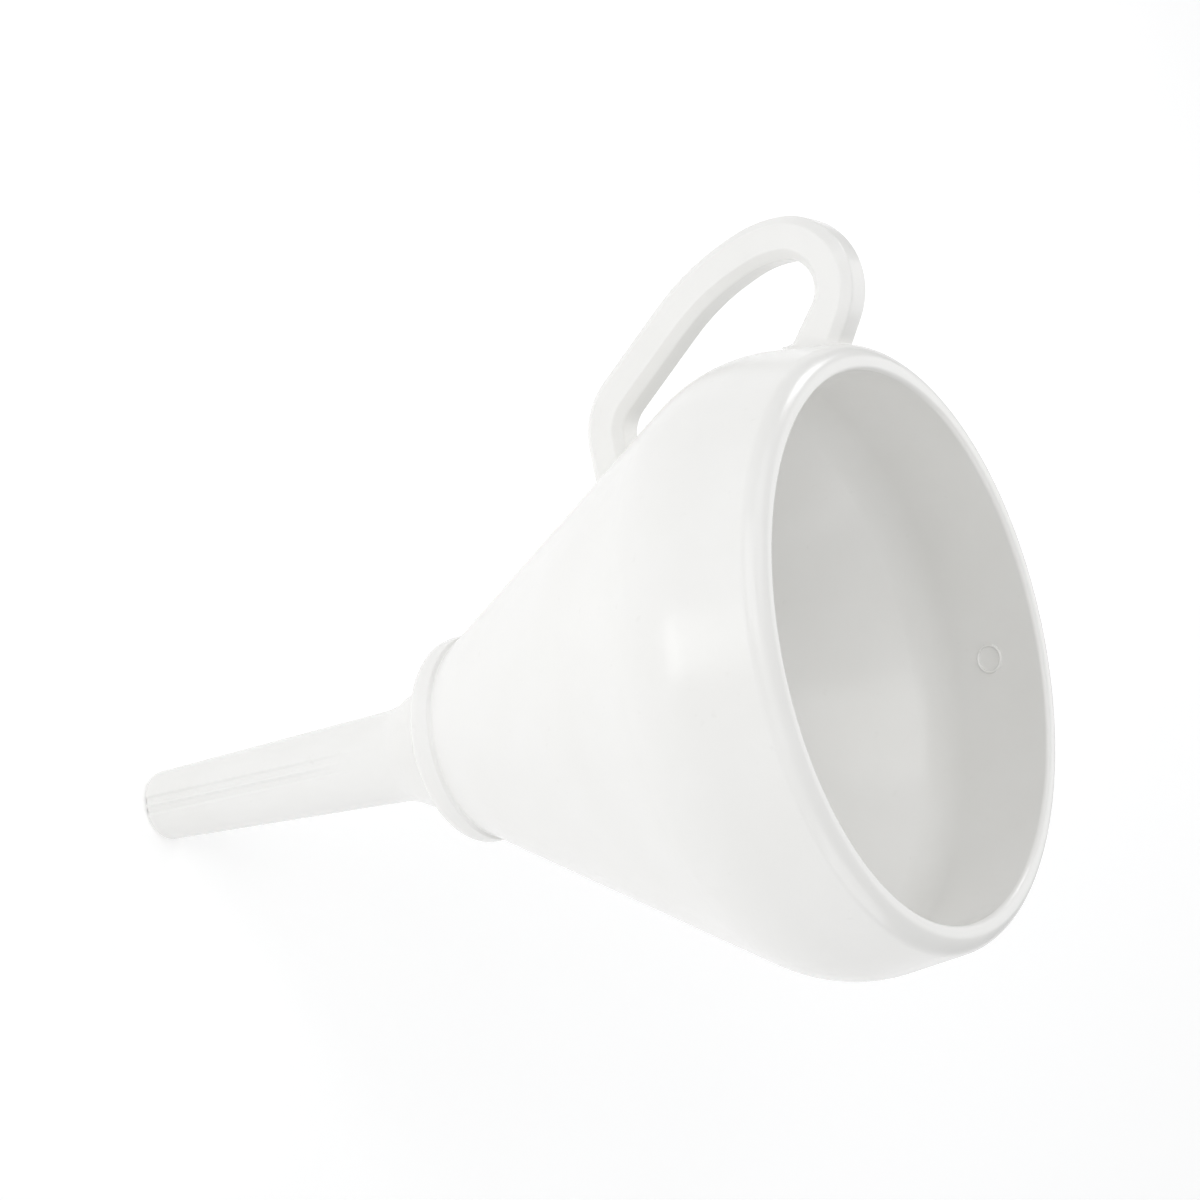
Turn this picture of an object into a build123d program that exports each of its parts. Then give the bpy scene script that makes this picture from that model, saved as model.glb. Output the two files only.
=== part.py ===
from build123d import *
import os

# A polyethylene filling funnel with a loop handle, in millimetres.
# Origin: on the funnel's axis, in the plane of the collar's underside.
# +Z runs up the axis to the mouth, +X points at the handle.
os.makedirs("parts", exist_ok=True)

# ---------------------------------------------------------------- sizes
SPOUT_LENGTH = 77.7
TIP_RADIUS = 7.3
SPOUT_ROOT_RADIUS = 9.52
TIP_ROUND = 0.9
TRUMPET_DROP = 12.93
TRUMPET_ROUND = 15.8

COLLAR_RADIUS = 20.85
COLLAR_HEIGHT = 7.0
SEAT_INNER_RADIUS = 15.6
SEAT_OUTER_RADIUS = 16.8
COLLAR_EDGE_HEIGHT = 1.9
COLLAR_LOWER_ROUND = 3.1
COLLAR_SIDE_HEIGHT = 6.3
COLLAR_UPPER_ROUND = 0.6
CONE_FOOT_RADIUS = 20.25
CONE_FOOT_ROUND = 0.5

SHOULDER_RADIUS = 60.86
SHOULDER_HEIGHT = 80.65
SHOULDER_ROUND = 24.5
RIM_RADIUS = 57.43
RIM_HEIGHT = 104.55
RIM_OUTER_ROUND = 4.1
MOUTH_RADIUS = 52.25
RIM_INNER_ROUND = 0.9
FOLD_RADIUS = 56.9
FOLD_HEIGHT = 78.7
FOLD_ROUND = 14.0
THROAT_RADIUS = 7.7
THROAT_HEIGHT = -9.0
THROAT_ROUND = 12.0
OUTLET_RADIUS = 5.3
OUTLET_ROUND = 0.4

RIM_BAND_HEIGHT = 99.3

VENT_WIDTH = 4.2
VENT_DEPTH = 0.75
VENT_LENGTH = 58.0

HANDLE_THICKNESS = 7.9
HANDLE_WIDTH = 8.6
HANDLE_CORNER = 2.6
BRACE_THICKNESS = 7.5
BRACE_WIDTH = 8.0

MARK_RADIUS = 3.0
MARK_LINE = 0.6
MARK_RELIEF = 0.35
MARK_HEIGHT = 92.0

# ------------------------------------------------- the wall's half-section
# Every corner is (radius, height, rounding); the list runs up the outside
# from the tip, over the rim and back down the inside to the outlet.
WALL_CORNERS = [
    (TIP_RADIUS, -SPOUT_LENGTH, TIP_ROUND),
    (SPOUT_ROOT_RADIUS, -TRUMPET_DROP, TRUMPET_ROUND),
    (SEAT_INNER_RADIUS, 0.0, 0.0),
    (SEAT_OUTER_RADIUS, 0.0, 0.0),
    (COLLAR_RADIUS, COLLAR_EDGE_HEIGHT, COLLAR_LOWER_ROUND),
    (COLLAR_RADIUS, COLLAR_SIDE_HEIGHT, COLLAR_UPPER_ROUND),
    (CONE_FOOT_RADIUS, COLLAR_HEIGHT, CONE_FOOT_ROUND),
    (SHOULDER_RADIUS, SHOULDER_HEIGHT, SHOULDER_ROUND),
    (RIM_RADIUS, RIM_HEIGHT, RIM_OUTER_ROUND),
    (MOUTH_RADIUS, RIM_HEIGHT, RIM_INNER_ROUND),
    (FOLD_RADIUS, FOLD_HEIGHT, FOLD_ROUND),
    (THROAT_RADIUS, THROAT_HEIGHT, THROAT_ROUND),
    (OUTLET_RADIUS, -SPOUT_LENGTH, OUTLET_ROUND),
]

with BuildSketch(Plane.XZ) as wall_section:
    with BuildLine():
        Polyline(*[(radius, height) for radius, height, rounding in WALL_CORNERS], close=True)
    make_face()
    for radius, height, rounding in WALL_CORNERS:
        if rounding:
            corner = wall_section.vertices().sort_by_distance((radius, height, 0))[0]
            fillet(corner, rounding)


def wall_band(low, high, inner=0.0, outer=2 * RIM_RADIUS):
    """The part of the wall's half-section between two heights and two radii."""
    with BuildSketch(Plane.XZ) as band:
        add(wall_section.sketch_local)
        with Locations(((inner + outer) / 2, (low + high) / 2)):
            Rectangle(outer - inner, high - low, mode=Mode.INTERSECT)
    return band.sketch


# ---------------------------------------------------------------- spout
# A tapered stem that flares into a trumpet and ends inside the collar, with
# a shallow air channel down each side, at right angles to the handle. The
# channels run out before the trumpet.
SPOUT_TAPER = (SPOUT_ROOT_RADIUS - TIP_RADIUS) / (SPOUT_LENGTH - TRUMPET_DROP)
VENT_RISE = SPOUT_TAPER + VENT_DEPTH / VENT_LENGTH

with BuildPart() as spout:
    revolve(wall_band(-SPOUT_LENGTH, 0), axis=Axis.Z)
    revolve(wall_band(0, COLLAR_HEIGHT, outer=SEAT_INNER_RADIUS), axis=Axis.Z)
    for side in (1, -1):
        with BuildSketch(Plane.XY.offset(-SPOUT_LENGTH)):
            with Locations((0, side * TIP_RADIUS)):
                Rectangle(VENT_WIDTH, 2 * VENT_DEPTH)
        extrude(amount=VENT_LENGTH, dir=(0, side * VENT_RISE, 1), mode=Mode.SUBTRACT)

# --------------------------------------------------------------- collar
# The stop ring round the spout's head. The narrow flat on its underside
# sits on a bottle's mouth.
with BuildPart() as collar:
    revolve(wall_band(0, COLLAR_HEIGHT, inner=SEAT_INNER_RADIUS), axis=Axis.Z)

# ----------------------------------------------------------------- bowl
# The cone and its rounded shoulder.
with BuildPart() as bowl:
    revolve(wall_band(COLLAR_HEIGHT, RIM_BAND_HEIGHT), axis=Axis.Z)

# ------------------------------------------------------------------ rim
# The thick, rounded lip round the mouth.
with BuildPart() as rim:
    revolve(wall_band(RIM_BAND_HEIGHT, RIM_HEIGHT), axis=Axis.Z)

# --------------------------------------------------------------- handle
# A closed loop of soft-cornered square section. Its ends stop on the
# outside of the bowl, and its top stays just under the rim's plane. A
# short, slightly slimmer brace in the loop's upper end makes it widen
# towards the wall.
HANDLE_ROUTE = [
    (41.3, 46.3),
    (56.5, 45.6),
    (76.7, 71.2),
    (81.5, 86.2),
    (79.4, 107.85),
    (56.6, 93.5),
]
HANDLE_BENDS = [10.6, 48.8, 23.7, 10.4]
BRACE_START = (65.1, 98.8)
BRACE_END = (57.7, 91.8)


def handle_section(line, width, thickness):
    """A soft-cornered section across the start of a line in the handle's plane."""
    with BuildSketch(Plane(line @ 0, x_dir=(0, 1, 0), z_dir=line % 0)) as section:
        RectangleRounded(width, thickness, HANDLE_CORNER)
    return section.sketch


with BuildPart() as handle:
    with BuildLine(Plane.XZ) as route:
        FilletPolyline(*HANDLE_ROUTE, radius=HANDLE_BENDS)
    loop_section = handle_section(route.line, HANDLE_WIDTH, HANDLE_THICKNESS)
    sweep(loop_section, path=route.line)
    with BuildLine(Plane.XZ) as brace:
        Line(BRACE_START, BRACE_END)
    brace_section = handle_section(brace.line, BRACE_WIDTH, BRACE_THICKNESS)
    sweep(brace_section, path=brace.line)
    add(bowl.part, mode=Mode.SUBTRACT)

# ------------------------------------------------------------ mould mark
# A plain raised ring on the inside of the upper wall, over one channel.
WALL_LEAN = (FOLD_RADIUS - MOUTH_RADIUS) / (RIM_HEIGHT - FOLD_HEIGHT)
MARK_WALL_RADIUS = MOUTH_RADIUS + WALL_LEAN * (RIM_HEIGHT - MARK_HEIGHT)

with BuildPart() as mould_mark:
    mark_centre = (0, MARK_RELIEF - MARK_WALL_RADIUS, MARK_HEIGHT)
    with BuildSketch(Plane(mark_centre, x_dir=(1, 0, 0), z_dir=(0, -1, WALL_LEAN))):
        Circle(MARK_RADIUS)
        Circle(MARK_RADIUS - MARK_LINE, mode=Mode.SUBTRACT)
    extrude(amount=3 * MARK_RELIEF)
    add(bowl.part, mode=Mode.SUBTRACT)

# --------------------------------------------------------------- export
pieces = {
    "spout": spout,
    "collar": collar,
    "bowl": bowl,
    "rim": rim,
    "handle": handle,
    "mould_mark": mould_mark,
}
for name, piece in pieces.items():
    piece.part.label = name
    export_step(piece.part, "parts/" + name + ".step")
    print(name, round(piece.part.volume, 1), len(piece.part.solids()))
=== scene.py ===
import math

import bpy
import numpy as np
from mathutils import Matrix, Vector


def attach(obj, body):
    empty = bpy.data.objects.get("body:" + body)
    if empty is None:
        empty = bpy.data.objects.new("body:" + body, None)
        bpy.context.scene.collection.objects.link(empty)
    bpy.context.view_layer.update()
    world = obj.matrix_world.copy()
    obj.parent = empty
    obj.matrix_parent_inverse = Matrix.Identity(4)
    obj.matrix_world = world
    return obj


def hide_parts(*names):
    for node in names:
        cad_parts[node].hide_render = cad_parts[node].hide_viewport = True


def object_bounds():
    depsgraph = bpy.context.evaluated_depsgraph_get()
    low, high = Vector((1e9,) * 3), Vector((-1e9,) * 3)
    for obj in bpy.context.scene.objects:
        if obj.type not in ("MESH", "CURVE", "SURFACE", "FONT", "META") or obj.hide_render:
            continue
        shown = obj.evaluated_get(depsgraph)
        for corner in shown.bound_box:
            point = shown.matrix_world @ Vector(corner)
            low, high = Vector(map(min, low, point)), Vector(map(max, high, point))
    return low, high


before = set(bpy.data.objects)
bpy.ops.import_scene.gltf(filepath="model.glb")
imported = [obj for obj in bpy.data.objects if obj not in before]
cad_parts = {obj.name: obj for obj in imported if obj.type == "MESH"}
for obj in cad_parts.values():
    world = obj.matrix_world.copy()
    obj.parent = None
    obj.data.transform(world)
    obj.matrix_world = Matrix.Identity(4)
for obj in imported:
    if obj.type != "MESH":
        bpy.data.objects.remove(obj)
cad_low, cad_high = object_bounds()

MM = 0.001

# ------------------------------------------------------------ dimensions
# The same profile as the CAD part, in millimetres: (radius, height, rounding),
# from the middle of the tip's end face up the outside, over the lip and down
# the inside.
SPOUT_LENGTH = 77.7
COLLAR_HEIGHT = 7.0
SEAT_INNER = 15.6
RIM_BAND = 99.3
OUTLINE = [
    (6.3, -SPOUT_LENGTH, 0.0),
    (7.3, -SPOUT_LENGTH, 0.9),
    (9.52, -12.93, 15.8),
    (SEAT_INNER, 0.0, 0.0),
    (16.8, 0.0, 0.0),
    (20.85, 1.9, 3.1),
    (20.85, 6.3, 0.6),
    (20.25, COLLAR_HEIGHT, 0.5),
    (60.86, 80.65, 24.5),
    (57.43, 104.55, 4.1),
    (52.25, 104.55, 0.9),
    (56.9, 78.7, 14.0),
    (7.7, -9.0, 12.0),
    (5.3, -SPOUT_LENGTH, 0.4),
    (6.3, -SPOUT_LENGTH, 0.0),
]

TURNS = 192          # facets round the axis
LINE_STEP = 2.5      # spacing of rows along straight runs
ARC_STEP = math.radians(5)
TINY = 1e-6
TOUCHING = 1e-4      # ends closer than this are one point
OUTWARD = 0.1        # a normal with more than this along the radius faces out
FAR = 200.0          # beyond every radius and height of the profile
SEAM = 0.001         # keeps a flat joint out of one of the two pieces that meet at it

# The air channels down the stem: two flutes with a rib between them.
VENT_HALF = 2.1
VENT_DEPTH = 0.42
VENT_TOP = -19.7
VENT_EDGE = 0.55
VENT_FADE = 22.0     # length over which a channel runs out
VENT_FADE_POWER = 0.6
RIB_HALF = 0.75
STEM_FINE_HALF = 2.6     # the stem's columns are close together this far across a channel
STEM_FINE_COLUMNS = 41
STEM_WIDE_COLUMNS = 60
STEM_RADIUS = 7.5


def rounded(corners):
    """Rounded polyline as edges (p0, p1, n0, n1); the normal is on the right of travel."""
    points = [np.array(c[:2], float) for c in corners]
    edges = []
    here = points[0]

    def straight(a, b):
        run = b - a
        length = np.linalg.norm(run)
        if length < TINY:
            return
        normal = np.array([run[1], -run[0]]) / length
        parts = max(1, int(math.ceil(length / LINE_STEP)))
        for i in range(parts):
            edges.append((a + run * i / parts, a + run * (i + 1) / parts, normal, normal))

    for i in range(1, len(points) - 1):
        radius = corners[i][2]
        if radius == 0:
            straight(here, points[i])
            here = points[i]
            continue
        back = points[i - 1] - points[i]
        ahead = points[i + 1] - points[i]
        back /= np.linalg.norm(back)
        ahead /= np.linalg.norm(ahead)
        half = math.acos(float(np.clip(back @ ahead, -1, 1))) / 2
        reach = radius / math.tan(half)
        start = points[i] + back * reach
        end = points[i] + ahead * reach
        centre = points[i] + (back + ahead) / np.linalg.norm(back + ahead) * radius / math.sin(half)
        straight(here, start)
        a0 = math.atan2(*(start - centre)[::-1])
        turn = (math.atan2(*(end - centre)[::-1]) - a0 + math.pi) % (2 * math.pi) - math.pi
        parts = max(4, int(math.ceil(abs(turn) / ARC_STEP)))
        side = 1 if turn > 0 else -1
        spokes = [
            np.array([math.cos(a0 + turn * j / parts), math.sin(a0 + turn * j / parts)])
            for j in range(parts + 1)
        ]
        for p, q in zip(spokes, spokes[1:]):
            edges.append((centre + radius * p, centre + radius * q, side * p, side * q))
        here = end
    straight(here, points[-1])
    return edges


def split_at(edges, place, value):
    """The same edges, divided where they cross a radius (place 0) or a height (place 1)."""
    divided = []
    for a, b, m, n in edges:
        if (a[place] - value) * (b[place] - value) < -TINY ** 2:
            t = (value - a[place]) / (b[place] - a[place])
            middle = a + (b - a) * t
            normal = m + (n - m) * t
            normal = normal / np.linalg.norm(normal)
            divided += [(a, middle, m, normal), (middle, b, normal, n)]
        else:
            divided.append((a, b, m, n))
    return divided


wall = rounded(OUTLINE)
for cut in (0.0, COLLAR_HEIGHT, RIM_BAND):
    wall = split_at(wall, 1, cut)
crown = max(range(len(wall)), key=lambda i: wall[i][1][1])
outside, inside = wall[: crown + 1], split_at(wall[crown + 1:], 0, SEAT_INNER)


def within(edges, low, high, inner=0.0, outer=FAR):
    """The edges of a chain between two heights and two radii."""
    kept = []
    for edge in edges:
        radius, height = (edge[0] + edge[1]) / 2
        if low - TINY <= height <= high + TINY and inner - TINY <= radius <= outer + TINY:
            kept.append(edge)
    return kept


def closed(*chains):
    """Chains joined end to end with flat hidden faces, as one closed section."""
    section = []
    for i, chain in enumerate(chains):
        section += chain
        a, b = chain[-1][1], chains[(i + 1) % len(chains)][0][0]
        gap = b - a
        length = np.linalg.norm(gap)
        if length > TOUCHING:
            normal = np.array([gap[1], -gap[0]]) / length
            section.append((a, b, normal, normal))
    return section


def mesh_object(name, points, faces, normals=None):
    """A smooth-shaded mesh piece, with its own corner normals where they are given."""
    mesh = bpy.data.meshes.new(name)
    mesh.from_pydata([tuple(p) for p in points], [], faces)
    mesh.polygons.foreach_set("use_smooth", [True] * len(mesh.polygons))
    mesh.validate()
    if normals is not None:
        mesh.normals_split_custom_set([tuple(n) for n in normals])
    mesh.update()
    piece = bpy.data.objects.new(name, mesh)
    bpy.context.scene.collection.objects.link(piece)
    return piece


def grid_faces(rows, columns, wrap=True, flip=False):
    """Quads over rows of points that close on themselves; wrap joins the last row to the first."""
    faces = []
    for i in range(rows if wrap else rows - 1):
        j = (i + 1) % rows
        for k in range(columns):
            l = (k + 1) % columns
            a, b, c, d = i * columns + k, i * columns + l, j * columns + l, j * columns + k
            faces.append((a, d, c, b) if flip else (a, b, c, d))
    return faces


def turned(name, section):
    """A closed section turned round the axis, with the section's own normals."""
    angles = [2 * math.pi * i / TURNS for i in range(TURNS)]
    points = [
        (edge[0][0] * math.cos(a) * MM, edge[0][0] * math.sin(a) * MM, edge[0][1] * MM)
        for edge in section for a in angles
    ]
    normals = []
    for _, _, m, n in section:
        for a, b in zip(angles, angles[1:] + angles[:1]):
            normals += [
                (m[0] * math.cos(a), m[0] * math.sin(a), m[1]),
                (m[0] * math.cos(b), m[0] * math.sin(b), m[1]),
                (n[0] * math.cos(b), n[0] * math.sin(b), n[1]),
                (n[0] * math.cos(a), n[0] * math.sin(a), n[1]),
            ]
    return mesh_object(name, points, grid_faces(len(section), TURNS), normals)


# ------------------------------------------------------- the turned parts
collar = turned("collar_ring", closed(
    within(outside, 0.0, COLLAR_HEIGHT),
    within(inside, 0.0, COLLAR_HEIGHT, inner=SEAT_INNER),
))
bowl = turned("bowl_wall", closed(
    within(outside, COLLAR_HEIGHT + SEAM, RIM_BAND),
    within(inside, COLLAR_HEIGHT, RIM_BAND),
))
rim = turned("rim_lip", closed(
    within(outside, RIM_BAND, FAR) + within(inside, RIM_BAND, FAR),
))


# --------------------------------------------------------------- spout
# Turned like the rest, but with two shallow air channels sunk into its outer
# face. Columns are closer together across the channels.
def smooth(t):
    """An S-shaped step from 0 to 1."""
    t = min(1.0, max(0.0, t))
    return t * t * (3 - 2 * t)


def channel(across, height):
    """How deep the channel is at a distance across it, in millimetres."""
    fade = smooth((VENT_TOP - height) / VENT_FADE) ** VENT_FADE_POWER
    edge = smooth((VENT_HALF - abs(across)) / VENT_EDGE)
    rib = smooth(1 - abs(across) / RIB_HALF)
    return VENT_DEPTH * edge * (1 - rib) * fade


def stem_columns():
    """The angles of the stem's columns."""
    fine = np.linspace(-STEM_FINE_HALF, STEM_FINE_HALF, STEM_FINE_COLUMNS) / STEM_RADIUS
    quarter = np.linspace(fine[-1], math.pi - fine[-1], STEM_WIDE_COLUMNS)[1:-1]
    return [*(math.pi / 2 + fine), *(math.pi / 2 + quarter), *(-math.pi / 2 + fine),
            *(-math.pi / 2 + quarter)]


def across_channel(radius, angle):
    """Distance across from the middle of the nearer channel, in millimetres."""
    offsets = [(angle - side * math.pi / 2 + math.pi) % (2 * math.pi) - math.pi
               for side in (1, -1)]
    return radius * min(offsets, key=abs)


def stem():
    """The stem: a turned section whose outer face is sunk at the channels."""
    section = closed(
        within(outside, -SPOUT_LENGTH, -SEAM),
        within(inside, -SPOUT_LENGTH, COLLAR_HEIGHT, outer=SEAT_INNER),
    )
    angles = stem_columns()
    points = []
    for (r, z), _, normal, _ in section:
        outer = z < VENT_TOP and normal[0] > OUTWARD
        for angle in angles:
            reach = r - channel(across_channel(r, angle), z) if outer else r
            points.append(Vector((reach * math.cos(angle), reach * math.sin(angle), z)) * MM)
    return mesh_object("spout_stem", points, grid_faces(len(section), len(angles)))


spout = stem()

# -------------------------------------------------------------- handle
# The route of the handle's middle as (x, height, bend), in the plane y = 0,
# from the lower root to the upper one.
ROUTE = [
    (41.3, 46.3, 0.0),
    (56.5, 45.6, 10.6),
    (76.7, 71.2, 48.8),
    (81.5, 86.2, 23.7),
    (79.4, 107.85, 10.4),
    (56.6, 93.5, 0.0),
]
ROUTE_STEP = 0.25        # spacing of rows along the route
TANGENT_PASSES = 4       # how often the route's directions are averaged

# The section's corners as (outward, sideways, rounding).
FLANK_HALF = 2.4
SECTION = [
    (4.1, 2.6, 0.9), (4.1, -2.6, 0.9), (FLANK_HALF, -4.3, 0.7), (-FLANK_HALF, -4.3, 0.7),
    (-4.1, -2.6, 0.9), (-4.1, 2.6, 0.9), (-FLANK_HALF, 4.3, 0.7), (FLANK_HALF, 4.3, 0.7),
]

# The upper end widens towards the wall, and both ends flare where they meet it.
# The flare is small on the side of the upper end that looks at the mouth.
ROOT_WIDENING = 1.3
ROOT_WIDENING_LENGTH = 10.5
ROOT_FILLET = 1.6
ROOT_CORNER = 0.7
ROOT_DEPTH = 1.5         # how far the ends reach into the wall
UPPER_HALF = 70.0        # the upper end is above this height
MOUTHWARD_GAIN = 1.6
MOUTHWARD_START = 0.2

outer_chain = np.array([e[0] for e in outside] + [outside[-1][1]])


def wall_distance(point):
    """Signed distance from the wall's outer face (outside is positive), and its normal."""
    r = math.hypot(point[0], point[1])
    p = np.array([r, point[2]])
    a, b = outer_chain[:-1], outer_chain[1:]
    run = b - a
    t = np.clip(((p - a) * run).sum(1) / (run ** 2).sum(1), 0, 1)
    foot = a + run * t[:, None]
    away = np.hypot(*(p - foot).T)
    i = int(away.argmin())
    normal = np.array([run[i][1], -run[i][0]])
    normal = normal / np.linalg.norm(normal)
    sign = 1 if (p - foot[i]) @ normal > 0 else -1
    flat = Vector((point[0], point[1], 0)).normalized()
    return sign * away[i], flat * normal[0] + Vector((0, 0, normal[1]))


def section_loop():
    """The handle's softly creased eight-sided section, as (in-plane, sideways) points."""
    corners = [*SECTION, SECTION[0], SECTION[1]]
    loop = []
    for (a, b, c) in zip(corners, corners[1:], corners[2:]):
        for edge in rounded([((a[0] + b[0]) / 2, (a[1] + b[1]) / 2, 0), b,
                             ((b[0] + c[0]) / 2, (b[1] + c[1]) / 2, 0)]):
            loop.append(edge[0])
    return loop


def flared(point, ray, mouthward):
    """A point of the handle's skin, moved out along its ray where it nears the wall."""
    direction = ray.normalized()
    away, normal = wall_distance(point)
    reach = ROOT_FILLET + (ROOT_CORNER - ROOT_FILLET) * mouthward
    if away < reach:
        lift = reach * (1 - max(0.0, away) / reach) ** 2
        point = point + direction * lift
        away, normal = wall_distance(point)
    if away < -ROOT_DEPTH:
        point = point + normal * (-ROOT_DEPTH - away)
    return point


def handle_loop():
    """The handle's section carried along its route, with closed ends inside the wall."""
    rail = rounded(ROUTE)
    corners = np.array([e[0] for e in rail] + [rail[-1][1]])
    travelled = np.concatenate([[0], np.cumsum(np.hypot(*np.diff(corners, axis=0).T))])
    rows = np.append(np.arange(0, travelled[-1], ROUTE_STEP), travelled[-1])
    xs = np.interp(rows, travelled, corners[:, 0])
    zs = np.interp(rows, travelled, corners[:, 1])
    tangents = np.gradient(np.stack([xs, zs], 1), rows, axis=0)
    for _ in range(TANGENT_PASSES):
        tangents[1:-1] = (tangents[:-2] + 2 * tangents[1:-1] + tangents[2:]) / 4
    loop = section_loop()
    points = []
    for x, z, (tx, tz), along in zip(xs, zs, tangents, rows):
        size = math.hypot(tx, tz)
        outward = Vector((tz / size, 0, -tx / size))
        left = max(0.0, 1 - (rows[-1] - along) / ROOT_WIDENING_LENGTH)
        for v, u in loop:
            if v < 0:
                v -= ROOT_WIDENING * left * min(1.0, -v / FLANK_HALF)
            ray = outward * v + Vector((0, u, 0))
            mouthward = 0.0
            if z > UPPER_HALF:
                mouthward = smooth(
                    (ray.normalized() @ outward) * MOUTHWARD_GAIN - MOUTHWARD_START)
            points.append(flared(Vector((x, 0, z)) + ray, ray, mouthward) * MM)
    width, count = len(loop), len(rows)
    faces = grid_faces(count, width, wrap=False, flip=True)
    faces.append(tuple(range(width)))
    faces.append(tuple(reversed(range((count - 1) * width, count * width))))
    return mesh_object("handle_loop", points, faces)


handle = handle_loop()

# ---------------------------------------------------------- mould mark
# A plain raised ring inside the mouth, over one channel.
MARK_RADIUS = 3.0
MARK_LINE = 0.6
MARK_RELIEF = 0.35
MARK_HEIGHT = 92.0
MARK_TURNS = 72
# The ring's own section: (across, in line widths; height, in reliefs).
MARK_SECTION = [
    (-0.5, -0.4), (-0.42, 0.6), (-0.2, 0.95), (0.0, 1.0), (0.2, 0.95), (0.42, 0.6), (0.5, -0.4),
]


def inner_face(height):
    """The inner wall's radius at a height."""
    for a, b, _, _ in inside:
        low, high = sorted((a[1], b[1]))
        if low <= height <= high and high > low:
            return a[0] + (b[0] - a[0]) * (height - a[1]) / (b[1] - a[1])
    raise ValueError("no inner wall at height " + str(height))


def mark_ring():
    """The raised ring, bent to the inner wall."""
    points = []
    for i in range(MARK_TURNS):
        a = 2 * math.pi * i / MARK_TURNS
        for offset, relief in MARK_SECTION:
            reach = MARK_RADIUS - MARK_LINE / 2 + offset * MARK_LINE
            z = MARK_HEIGHT + reach * math.sin(a)
            r = inner_face(z) - relief * MARK_RELIEF
            angle = -math.pi / 2 + reach * math.cos(a) / r
            points.append(Vector((r * math.cos(angle), r * math.sin(angle), z)) * MM)
    return mesh_object("mark_ring", points, grid_faces(MARK_TURNS, len(MARK_SECTION), flip=True))


mark = mark_ring()


# ------------------------------------------------------------ material
# Colours are linear; noise scales are in features per metre.
CLOUD_DARK = (0.888, 0.884, 0.864)
CLOUD_LIGHT = (0.908, 0.905, 0.889)
SPECK_COLOUR = (0.82, 0.815, 0.79)
GLOSS_RANGE = (0.20, 0.255)
PLASTIC_IOR = 1.51


def polyethylene():
    """Natural white moulded polyethylene: satin, faintly mottled, with a fine moulded skin."""
    material = bpy.data.materials.new("natural_polyethylene")
    material.use_nodes = True
    tree = material.node_tree
    tree.nodes.clear()
    node, link = tree.nodes.new, tree.links.new
    out = node("ShaderNodeOutputMaterial")
    shader = node("ShaderNodeBsdfPrincipled")
    link(shader.outputs["BSDF"], out.inputs["Surface"])
    place = node("ShaderNodeTexCoord")

    def noise(scale, detail, rough=0.5, stretch=(1.0, 1.0, 1.0)):
        """Noise over the object's own coordinates, which may be stretched."""
        mapping = node("ShaderNodeMapping")
        mapping.inputs["Scale"].default_value = stretch
        texture = node("ShaderNodeTexNoise")
        texture.inputs["Scale"].default_value = scale
        texture.inputs["Detail"].default_value = detail
        texture.inputs["Roughness"].default_value = rough
        link(place.outputs["Object"], mapping.inputs["Vector"])
        link(mapping.outputs["Vector"], texture.inputs["Vector"])
        return texture.outputs["Fac"]

    def ranged(source, low, high, to_low, to_high):
        """A value moved from one range to another, and held inside it."""
        fit = node("ShaderNodeMapRange")
        link(source, fit.inputs["Value"])
        fit.inputs["From Min"].default_value = low
        fit.inputs["From Max"].default_value = high
        fit.inputs["To Min"].default_value = to_low
        fit.inputs["To Max"].default_value = to_high
        return fit.outputs["Result"]

    def mixed(factor, first, second):
        """Two colours mixed by a socket; the first may be a socket as well."""
        mix = node("ShaderNodeMix")
        mix.data_type = "RGBA"
        link(factor, mix.inputs["Factor"])
        from_colour, to_colour = [s for s in mix.inputs if s.type == "RGBA"]
        if isinstance(first, tuple):
            from_colour.default_value = (*first, 1)
        else:
            link(first, from_colour)
        to_colour.default_value = (*second, 1)
        return [s for s in mix.outputs if s.type == "RGBA"][0]

    def bumped(height, strength, distance, under=None):
        """A bump, laid over another one where that is given."""
        bump = node("ShaderNodeBump")
        bump.inputs["Strength"].default_value = strength
        bump.inputs["Distance"].default_value = distance
        link(height, bump.inputs["Height"])
        if under is not None:
            link(under, bump.inputs["Normal"])
        return bump.outputs["Normal"]

    # faint mottling with fine specks
    cloud = ranged(noise(38, 4), 0.35, 0.65, 0.0, 1.0)
    specks = ranged(noise(420, 2), 0.70, 0.80, 0.0, 0.35)
    colour = mixed(specks, mixed(cloud, CLOUD_DARK, CLOUD_LIGHT), SPECK_COLOUR)
    link(colour, shader.inputs["Base Color"])

    # gloss in patches, with streaks along the axis
    streaks = noise(260, 3, 0.55, (1.0, 1.0, 0.12))
    blend = node("ShaderNodeMath")
    blend.operation = "MULTIPLY_ADD"
    link(streaks, blend.inputs[0])
    blend.inputs[1].default_value = 0.5
    link(noise(55, 3), blend.inputs[2])
    link(ranged(blend.outputs[0], 0.5, 1.0, *GLOSS_RANGE), shader.inputs["Roughness"])

    # the mould's skin, over slight sink marks
    skin = bumped(noise(1300, 2, 0.6), 0.35, 0.00003)
    sink = bumped(noise(75, 2, 0.4), 0.5, 0.00012, under=skin)
    link(sink, shader.inputs["Normal"])
    shader.inputs["IOR"].default_value = PLASTIC_IOR
    return material


plastic = polyethylene()
for piece, node_name in (
    (spout, "spout"), (collar, "collar"), (bowl, "bowl"),
    (rim, "rim"), (handle, "handle"), (mark, "mould_mark"),
):
    piece.data.materials.append(plastic)
    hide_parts(node_name)
    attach(piece, "root")


# --------------------------------------------------------------- stage
FLOOR_HALF = 6.0             # metres
FLOOR_GAP = 0.0005
FLOOR_COLOUR = (0.93, 0.93, 0.93, 1)
FLOOR_GLOW = 0.24            # keeps the pale floor clear of shadows
SKY_COLOUR = (0.985, 0.99, 1.0, 1)
SKY_STRENGTH = 0.35


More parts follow.
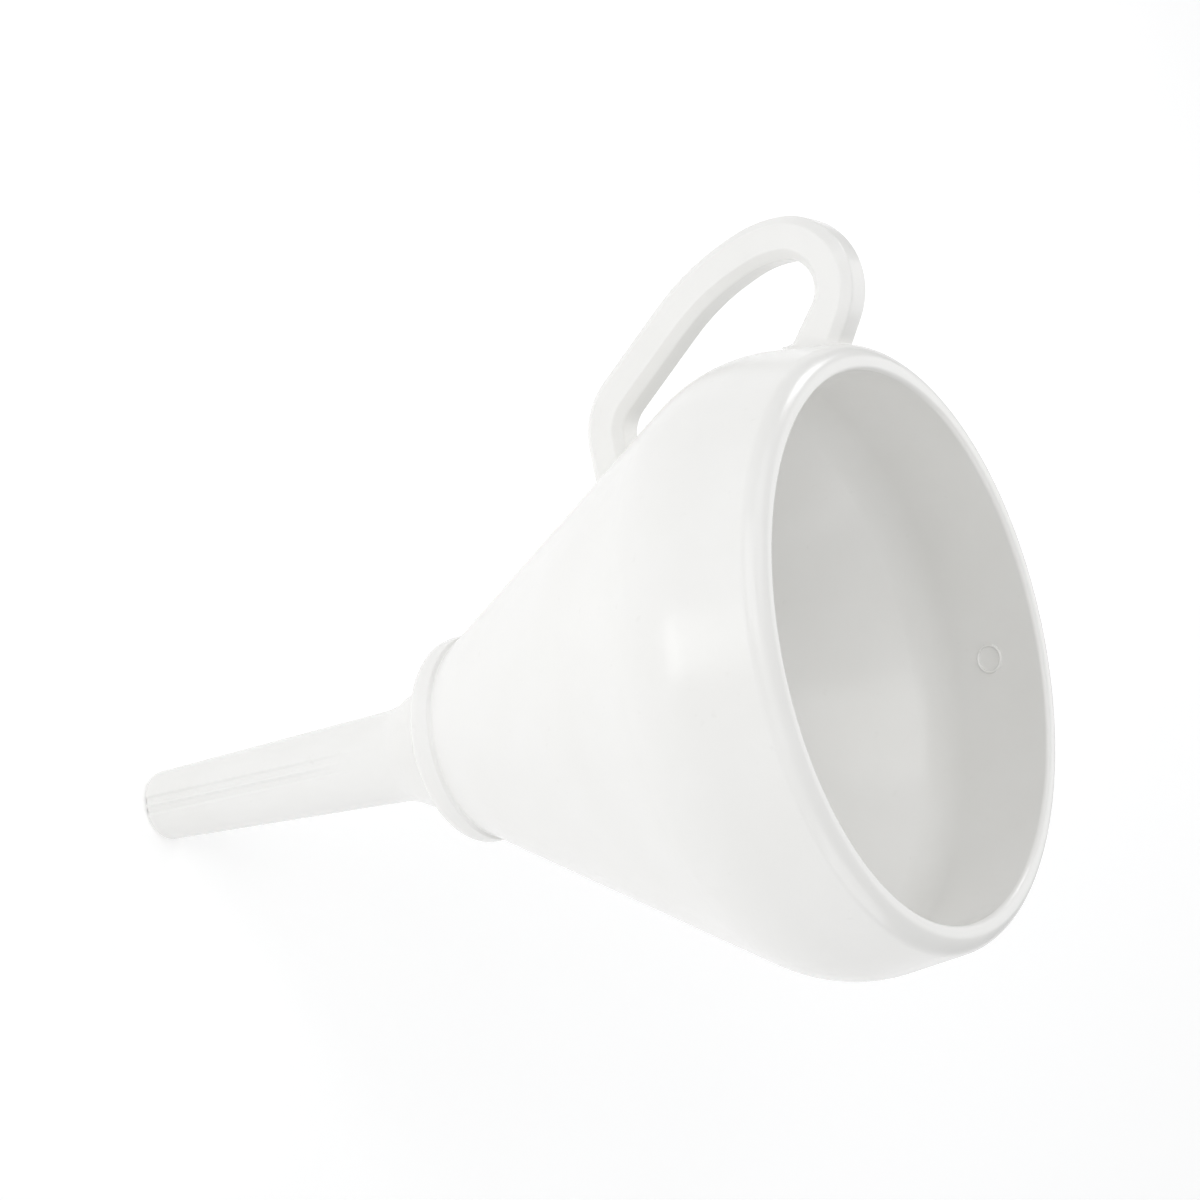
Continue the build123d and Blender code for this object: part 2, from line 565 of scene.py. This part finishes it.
def floor_material():
    """A pale matt floor with a little light of its own."""
    material = bpy.data.materials.new("pale_floor")
    material.use_nodes = True
    shader = material.node_tree.nodes["Principled BSDF"]
    shader.inputs["Base Color"].default_value = FLOOR_COLOUR
    shader.inputs["Roughness"].default_value = 0.8
    shader.inputs["Specular IOR Level"].default_value = 0.0
    shader.inputs["Emission Color"].default_value = (1, 1, 1, 1)
    shader.inputs["Emission Strength"].default_value = FLOOR_GLOW
    return material


floor_height = cad_low.z - FLOOR_GAP
floor_corners = [(-1, -1), (1, -1), (1, 1), (-1, 1)]
floor = mesh_object(
    "floor", [(FLOOR_HALF * x, FLOOR_HALF * y, floor_height) for x, y in floor_corners],
    [(0, 1, 2, 3)])
floor.data.materials.append(floor_material())

world = bpy.data.worlds.new("studio")
bpy.context.scene.world = world
world.use_nodes = True
sky = world.node_tree.nodes["Background"]
sky.inputs["Color"].default_value = SKY_COLOUR
sky.inputs["Strength"].default_value = SKY_STRENGTH


def soft_light(name, azimuth, elevation, distance, width, height, power, aim=(0, 0, 0.06)):
    """A soft box in a direction from the aimed point, and facing it; degrees, metres, watts."""
    a, e = math.radians(azimuth), math.radians(elevation)
    direction = Vector((math.cos(a) * math.cos(e), math.sin(a) * math.cos(e), math.sin(e)))
    data = bpy.data.lights.new(name, "AREA")
    data.shape = "RECTANGLE"
    data.size, data.size_y = width, height
    data.energy = power
    light = bpy.data.objects.new(name, data)
    light.location = Vector(aim) + direction * distance
    light.rotation_mode = "QUATERNION"
    light.rotation_quaternion = (-direction).to_track_quat("-Z", "Y")
    light.visible_camera = False
    bpy.context.scene.collection.objects.link(light)


soft_light("key", 80, -18, 0.33, 0.11, 0.09, 0.075, aim=(0.0, 0.03, 0.085))
soft_light("mouth_high", 10, 58, 1.0, 0.6, 0.6, 1.2)
soft_light("mouth_front", 96, 52, 1.0, 0.7, 0.7, 1.1)
soft_light("overhead", 0, 88, 1.0, 0.7, 0.7, 0.4)
soft_light("handle_side", 60, 32, 1.0, 0.7, 0.7, 2.2)
soft_light("low_side", 140, 30, 1.0, 0.7, 0.7, 0.5)
soft_light("far_side", 180, 25, 1.0, 0.7, 0.7, 2.0)
soft_light("rear", -84, 25, 1.0, 0.7, 0.7, 1.5)
soft_light("edge", -40, 32, 0.8, 0.25, 0.2, 0.9)

# -------------------------------------------------------------- camera
# It looks at a point on the axis, then rolls, pans and tilts; degrees and metres.
CAMERA_AZIMUTH = 96.0
CAMERA_POLAR = 56.481        # from the axis
CAMERA_DISTANCE = 0.70055
CAMERA_TARGET = 0.00845      # height of the point it looks at
CAMERA_ROLL = 77.939
CAMERA_PAN = -1.681
CAMERA_TILT = 2.204
CAMERA_LENS = 105.13         # millimetres
CAMERA_SENSOR = 36.0
CAMERA_CLIP = (0.02, 50.0)

azimuth, polar = math.radians(CAMERA_AZIMUTH), math.radians(CAMERA_POLAR)
back = Vector((math.sin(polar) * math.cos(azimuth), math.sin(polar) * math.sin(azimuth),
               math.cos(polar)))
turn = (-back).to_track_quat("-Z", "Y").to_matrix()
for angle, axis in ((CAMERA_ROLL, "Z"), (CAMERA_PAN, "Y"), (CAMERA_TILT, "X")):
    turn = turn @ Matrix.Rotation(math.radians(angle), 3, axis)
lens = bpy.data.cameras.new("camera")
lens.lens = CAMERA_LENS
lens.sensor_width = CAMERA_SENSOR
lens.clip_start, lens.clip_end = CAMERA_CLIP
camera = bpy.data.objects.new("camera", lens)
camera.matrix_world = Matrix.Translation(
    Vector((0, 0, CAMERA_TARGET)) + back * CAMERA_DISTANCE) @ turn.to_4x4()
bpy.context.scene.collection.objects.link(camera)
bpy.context.scene.camera = camera
bpy.context.scene.view_settings.view_transform = "Standard"

bpy.context.view_layer.update()
